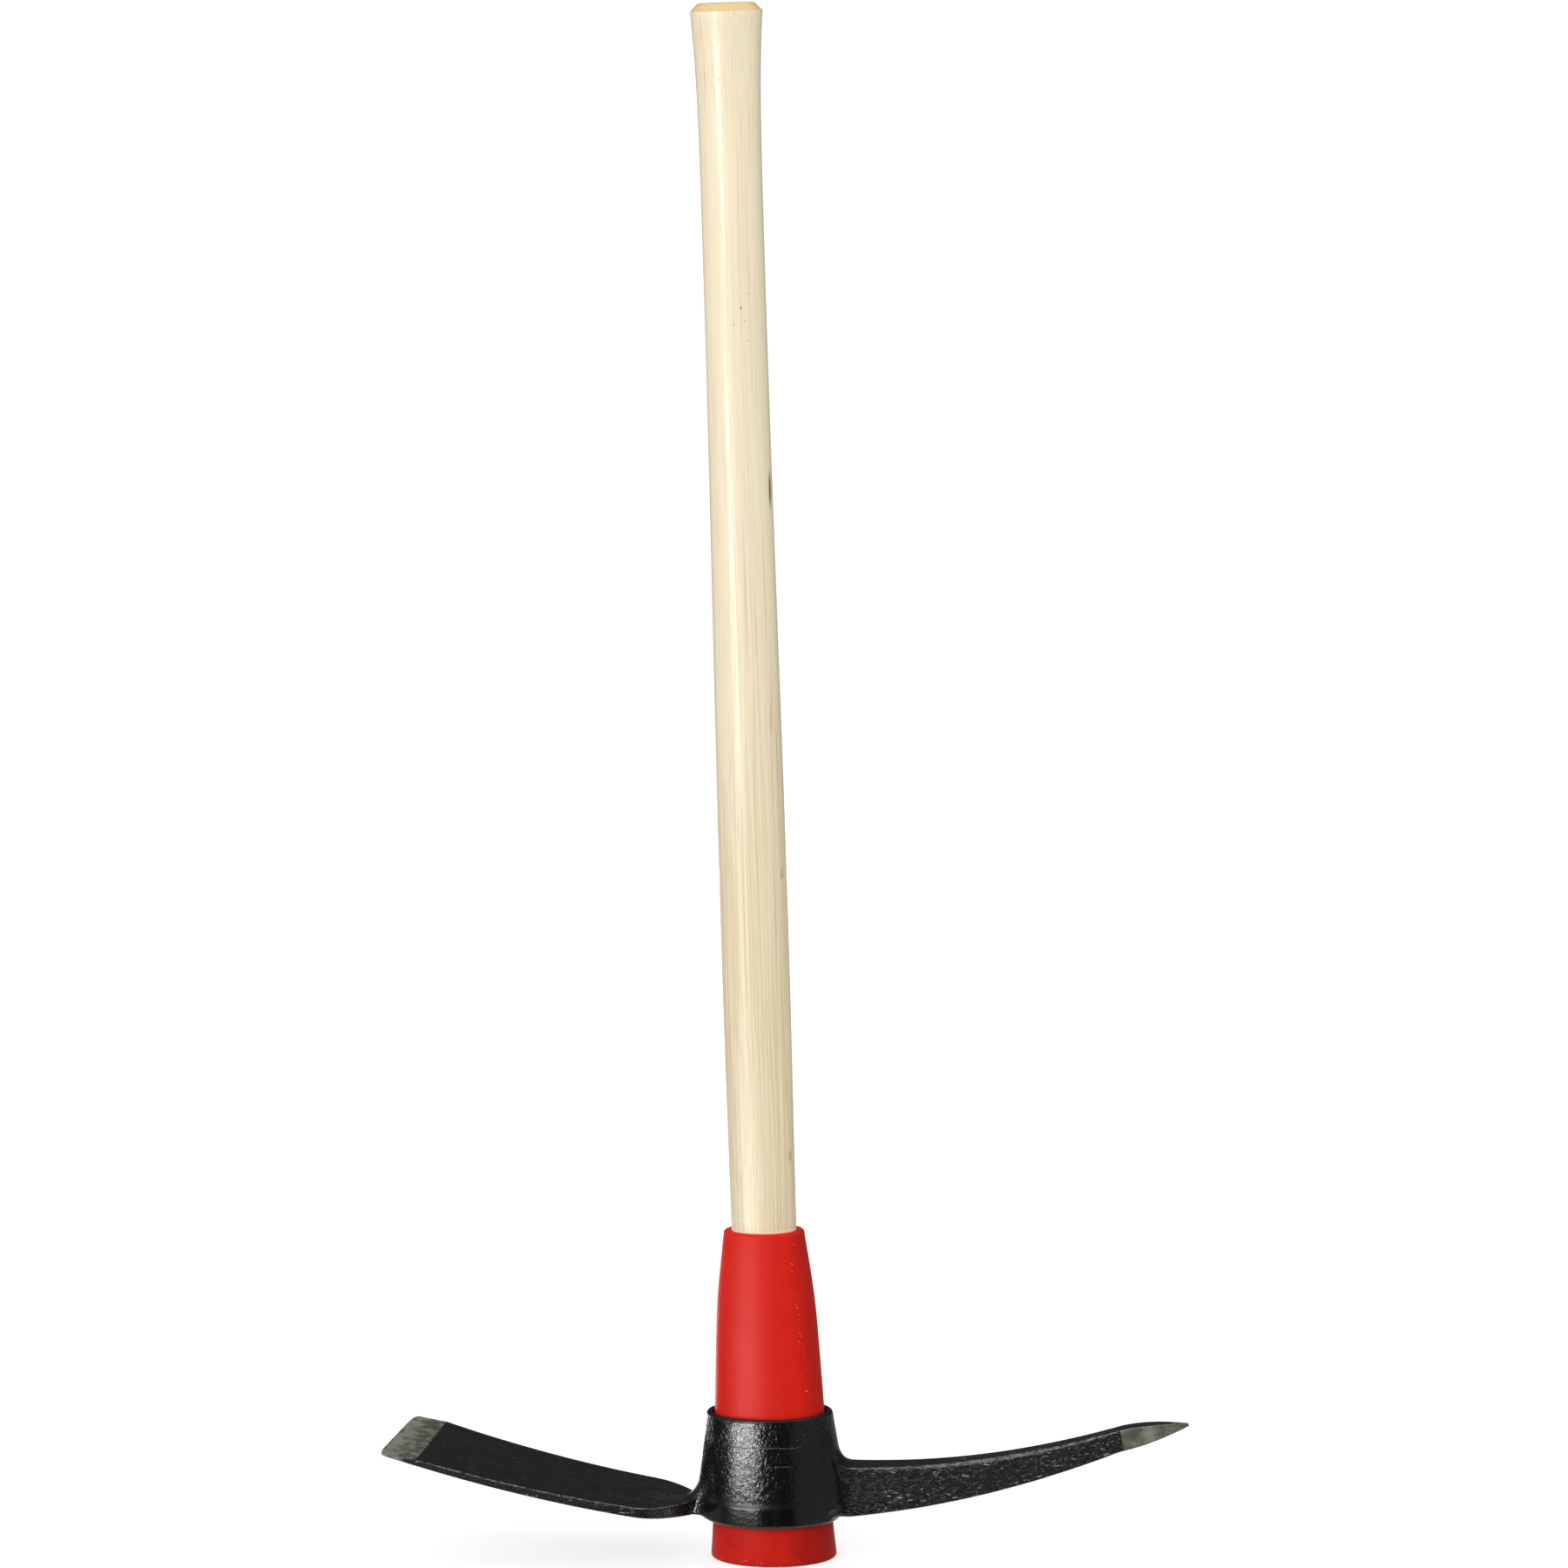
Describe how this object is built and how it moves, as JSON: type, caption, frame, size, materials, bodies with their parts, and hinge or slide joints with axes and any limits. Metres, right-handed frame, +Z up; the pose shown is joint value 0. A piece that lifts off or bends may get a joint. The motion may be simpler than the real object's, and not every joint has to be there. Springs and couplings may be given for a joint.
{
  "type": "pick mattock",
  "caption": "Pick mattock: a forged head with an adze blade and a pick, slipped over an oval wooden handle and jammed on a flared plastic sleeve at its foot.",
  "frame": {"origin": "middle of the flat foot of the handle, on the surface that the tool stands on", "axes": "+Z runs up the handle to the grip end, +X points along the pick, -X along the adze, and the adze's cutting edge runs along Y"},
  "size_m": [0.4956, 0.093, 0.95],
  "materials": {
    "wood": "clear lacquer",
    "red_plastic": "satin",
    "black_paint": "satin, with bare ground ends"
  },
  "bodies": {
    "handle": {"handle": "wood", "sleeve": "red_plastic"},
    "head": {"head": "black_paint"}
  },
  "joints": [
    {"name": "head_slide", "type": "slide", "parent": "handle", "child": "head", "axis": [0, 0, 1], "range_m": [0, 0.9]}
  ]
}
